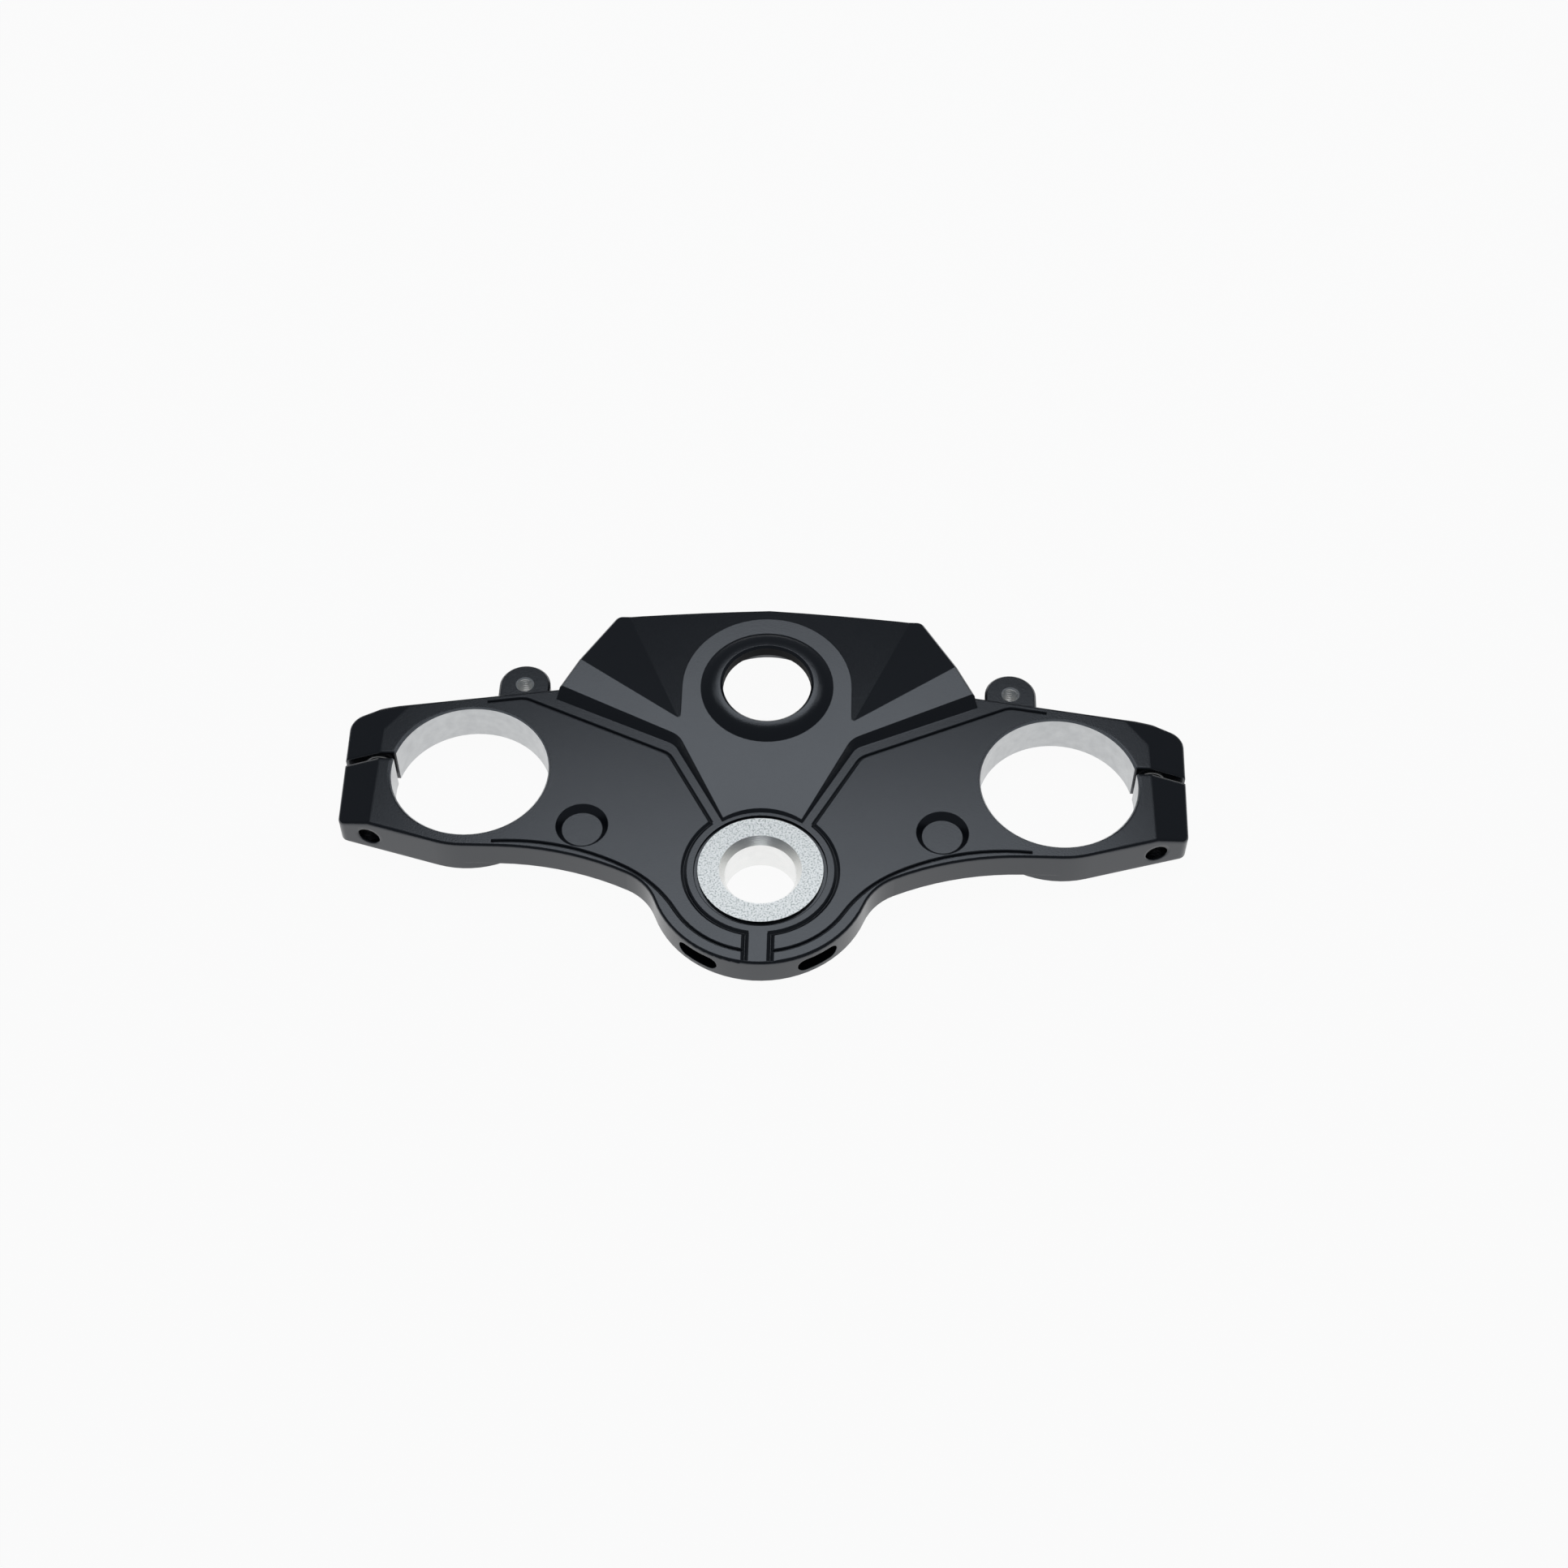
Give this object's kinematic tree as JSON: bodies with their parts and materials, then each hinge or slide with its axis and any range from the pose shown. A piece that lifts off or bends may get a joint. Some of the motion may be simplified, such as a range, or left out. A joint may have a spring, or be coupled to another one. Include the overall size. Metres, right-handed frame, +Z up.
{
  "type": "motorcycle triple clamp",
  "caption": "Cast aluminium top yoke that joins fork tubes to the steering stem, with slotted end clamps, a raised deck for a key switch and threaded lugs.",
  "frame": {"origin": "on the axis of the steering stem bore, in the plane of the soles of the stem hub and the fork clamps", "axes": "+X to the right of the rider, across the fork; +Y ahead, from the stem towards the fork line and the key switch; +Z up along the stem bore"},
  "size_m": [0.2698, 0.1373, 0.0209],
  "materials": {
    "yoke": "fine-textured satin black paint on cast aluminium, bores and nut seat bare machined metal"
  },
  "bodies": {
    "root": {"triple_clamp": "yoke"}
  },
  "joints": []
}
